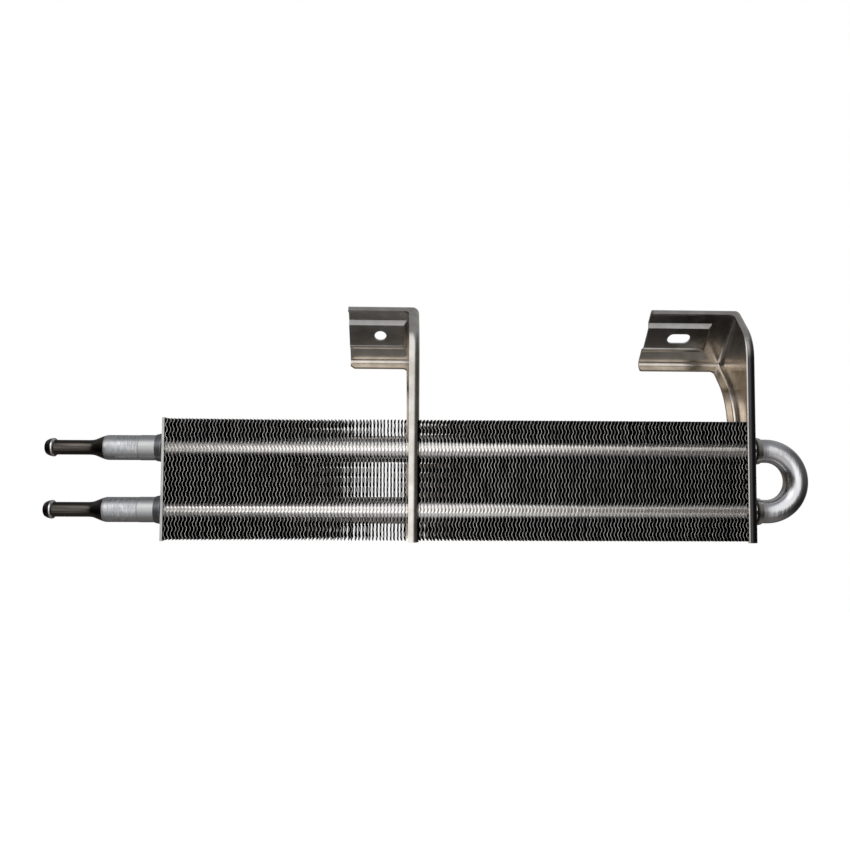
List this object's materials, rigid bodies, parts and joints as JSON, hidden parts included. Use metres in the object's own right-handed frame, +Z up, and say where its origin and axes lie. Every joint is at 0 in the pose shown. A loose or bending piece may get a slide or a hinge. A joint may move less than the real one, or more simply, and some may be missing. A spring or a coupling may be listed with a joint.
{
  "type": "power steering cooler",
  "caption": "Hairpin tube with two hose nipples in a bank of zigzag plate fins, held by a flat end plate and pressed brackets with inclined feet.",
  "frame": {"origin": "centre of the round hole in the left foot, on the rear face of its raised panel", "axes": "+X along the tubes, from the hose nipples to the U-bend; +Y to the rear, away from the viewer of the picture; +Z up, from the finned core to the feet"},
  "size_m": [0.5127, 0.0587, 0.1595],
  "materials": {
    "tube": "bright drawn tube, polished at the bend",
    "nipple": "turned, dark and glossy at the hose end, frosted at the sleeve",
    "plate": "mill finish",
    "bracket": "bright pressed sheet, lightly frosted",
    "fin": "thin rolled sheet, satin"
  },
  "bodies": {
    "root": {"hairpin_tube": "tube", "inlet_nipple": "nipple", "outlet_nipple": "nipple", "end_plate": "plate", "middle_bracket": "bracket", "end_bracket": "bracket", "left_fins_1": "fin", "left_fins_2": "fin", "left_fins_3": "fin", "left_fins_4": "fin", "left_fins_5": "fin", "left_fins_6": "fin", "left_fins_7": "fin", "left_fins_8": "fin", "left_fins_9": "fin", "left_fins_10": "fin", "left_fins_11": "fin", "left_fins_12": "fin", "left_fins_13": "fin", "left_fins_14": "fin", "left_fins_15": "fin", "left_fins_16": "fin", "left_fins_17": "fin", "right_fins_1": "fin", "right_fins_2": "fin", "right_fins_3": "fin", "right_fins_4": "fin", "right_fins_5": "fin", "right_fins_6": "fin", "right_fins_7": "fin", "right_fins_8": "fin", "right_fins_9": "fin", "right_fins_10": "fin", "right_fins_11": "fin", "right_fins_12": "fin", "right_fins_13": "fin", "right_fins_14": "fin", "right_fins_15": "fin", "right_fins_16": "fin", "right_fins_17": "fin", "right_fins_18": "fin", "right_fins_19": "fin", "right_fins_20": "fin", "right_fins_21": "fin", "right_fins_22": "fin", "right_fins_23": "fin", "right_fins_24": "fin"}
  },
  "joints": []
}
